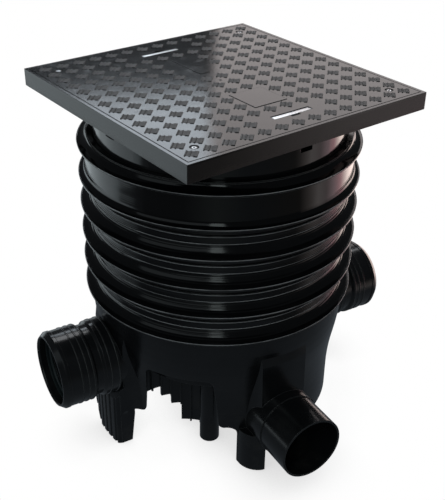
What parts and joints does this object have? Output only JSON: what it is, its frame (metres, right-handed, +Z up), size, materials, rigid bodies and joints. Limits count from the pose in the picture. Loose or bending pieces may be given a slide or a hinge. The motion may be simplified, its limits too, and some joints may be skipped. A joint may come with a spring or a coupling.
{
  "type": "drain inspection chamber",
  "caption": "Moulded plastic drain inspection chamber: base with outlet and inlet sockets, finned riser, telescopic neck and screwed square tread cover",
  "frame": {"origin": "On the bedding, at the axis of the shaft", "axes": "+Z up along the shaft; -Y out of the outlet; +X out of the right side inlet"},
  "size_m": [0.932, 0.93, 0.8912],
  "materials": {
    "black_plastic": "glossy black polypropylene",
    "cover_plastic": "satin black polypropylene",
    "seal_rubber": "matt black rubber",
    "lip_seal": "grey rubber, ribbed",
    "screw_steel": "bright stainless steel",
    "insert_brass": "plain turned brass"
  },
  "bodies": {
    "chamber": {"chamber_base": "black_plastic", "riser": "black_plastic", "riser_seal": "seal_rubber", "collar": "black_plastic", "collar_seal": "seal_rubber", "neck_seal": "seal_rubber", "left_socket": "black_plastic", "left_socket_seal": "lip_seal", "left_socket_cap": "black_plastic", "left_stub_seal": "seal_rubber", "right_socket": "black_plastic", "right_socket_seal": "lip_seal", "right_socket_cap": "black_plastic", "right_stub_seal": "seal_rubber", "main_socket": "black_plastic", "main_socket_seal": "lip_seal", "main_socket_cap": "black_plastic", "main_stub_seal": "seal_rubber"},
    "neck": {"cover_frame": "cover_plastic", "lid_gasket": "seal_rubber", "cover_lid": "cover_plastic", "cover_screws": "screw_steel", "frame_inserts": "insert_brass", "lifting_bars": "screw_steel"}
  },
  "joints": [
    {"name": "neck_slide", "type": "slide", "parent": "chamber", "child": "neck", "axis": [0, 0, 1], "range_m": [-0.04, 0.1]}
  ]
}
